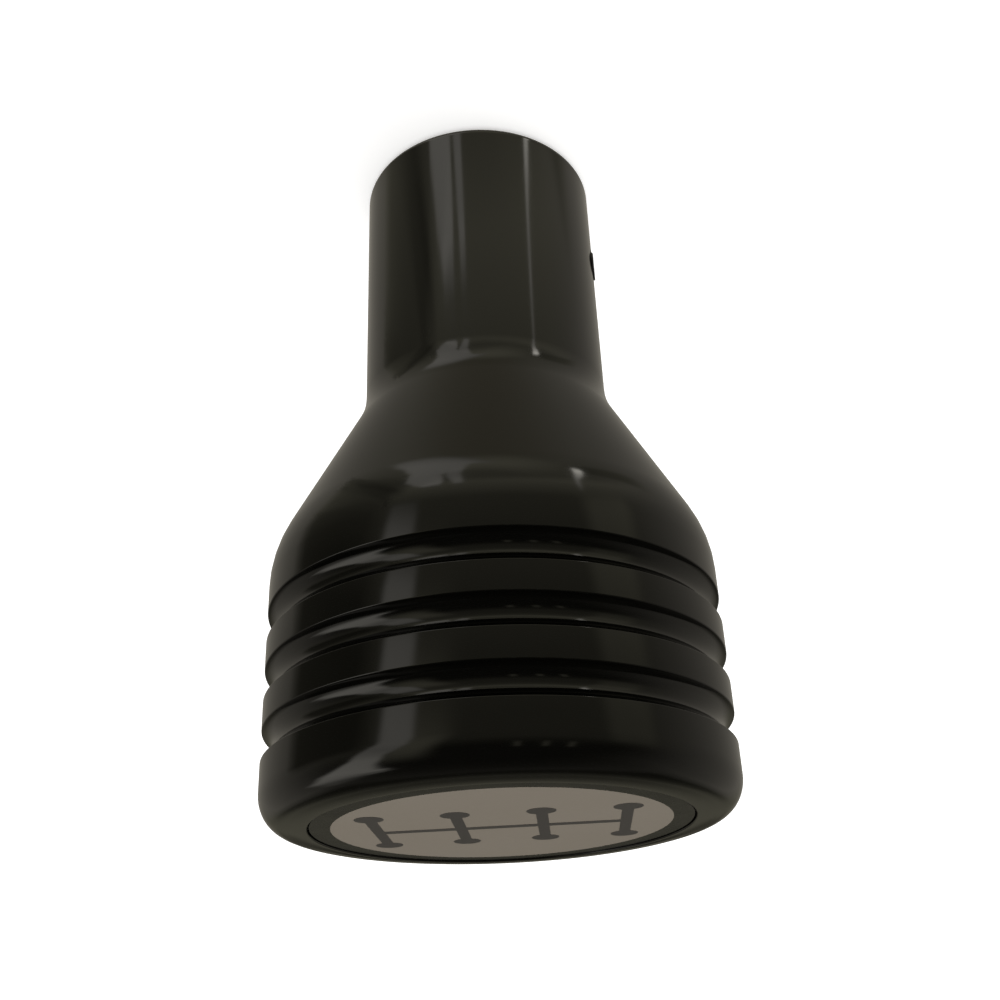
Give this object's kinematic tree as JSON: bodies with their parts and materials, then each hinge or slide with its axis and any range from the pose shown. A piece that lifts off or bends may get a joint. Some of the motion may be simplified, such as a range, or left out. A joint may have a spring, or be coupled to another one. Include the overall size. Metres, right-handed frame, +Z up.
{
  "type": "gear shift knob",
  "caption": "Waisted round gear shift knob with a grooved grip, a conical shoulder down to a set-screwed neck, and a badge in its end face.",
  "frame": {"origin": "centre of the neck's end face, the face that the knob stands on and that the lever enters", "axes": "+Z up the lever bore's axis to the badge; -X along the side set screw, out of the neck; +Y along the rear set screw, out of the neck"},
  "size_m": [0.0508, 0.0508, 0.0844],
  "materials": {
    "anodised_body": "gloss black anodised over fine turning marks",
    "badge": "satin warm grey print with a black border and dark grey line art",
    "adhesive": "black foam adhesive",
    "screw_steel": "black oxide alloy steel, slightly oily"
  },
  "bodies": {
    "knob": {"knob_body": "anodised_body", "badge_plate": "badge", "badge_adhesive": "adhesive"},
    "side_screw": {"side_set_screw": "screw_steel"},
    "rear_screw": {"rear_set_screw": "screw_steel"}
  },
  "joints": [
    {"name": "side_screw_travel", "type": "slide", "parent": "knob", "child": "side_screw", "axis": [1, 0, 0], "range_m": [-0.00476, 0.00159]},
    {"name": "rear_screw_travel", "type": "slide", "parent": "knob", "child": "rear_screw", "axis": [0, -1, 0], "range_m": [-0.00476, 0.00159]}
  ]
}
